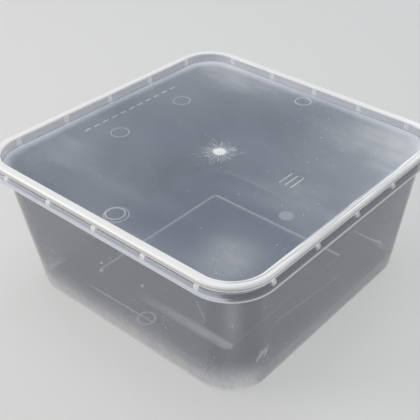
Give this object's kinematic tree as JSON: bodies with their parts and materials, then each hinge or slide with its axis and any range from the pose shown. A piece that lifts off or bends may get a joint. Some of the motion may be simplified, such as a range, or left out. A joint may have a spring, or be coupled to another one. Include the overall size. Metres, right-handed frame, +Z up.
{
  "type": "square food tub with lid",
  "caption": "Clear plastic square food tub with a drafted shell, a stepped rim and a press-on lid with a sunken panel, standing shut and empty.",
  "frame": {"origin": "middle of the tub's base, on the surface that it stands on", "axes": "+Z up, towards the lid; X and Y run square to the four sides, and -Y is the side that faces the viewer's left"},
  "size_m": [0.18, 0.18, 0.0818],
  "materials": {
    "tub_plastic": "smooth, clear, slightly milky",
    "lid_plastic": "smooth, clear, slightly milky, finely scratched"
  },
  "bodies": {
    "root": {"tub": "tub_plastic", "lid": "lid_plastic"}
  },
  "joints": []
}
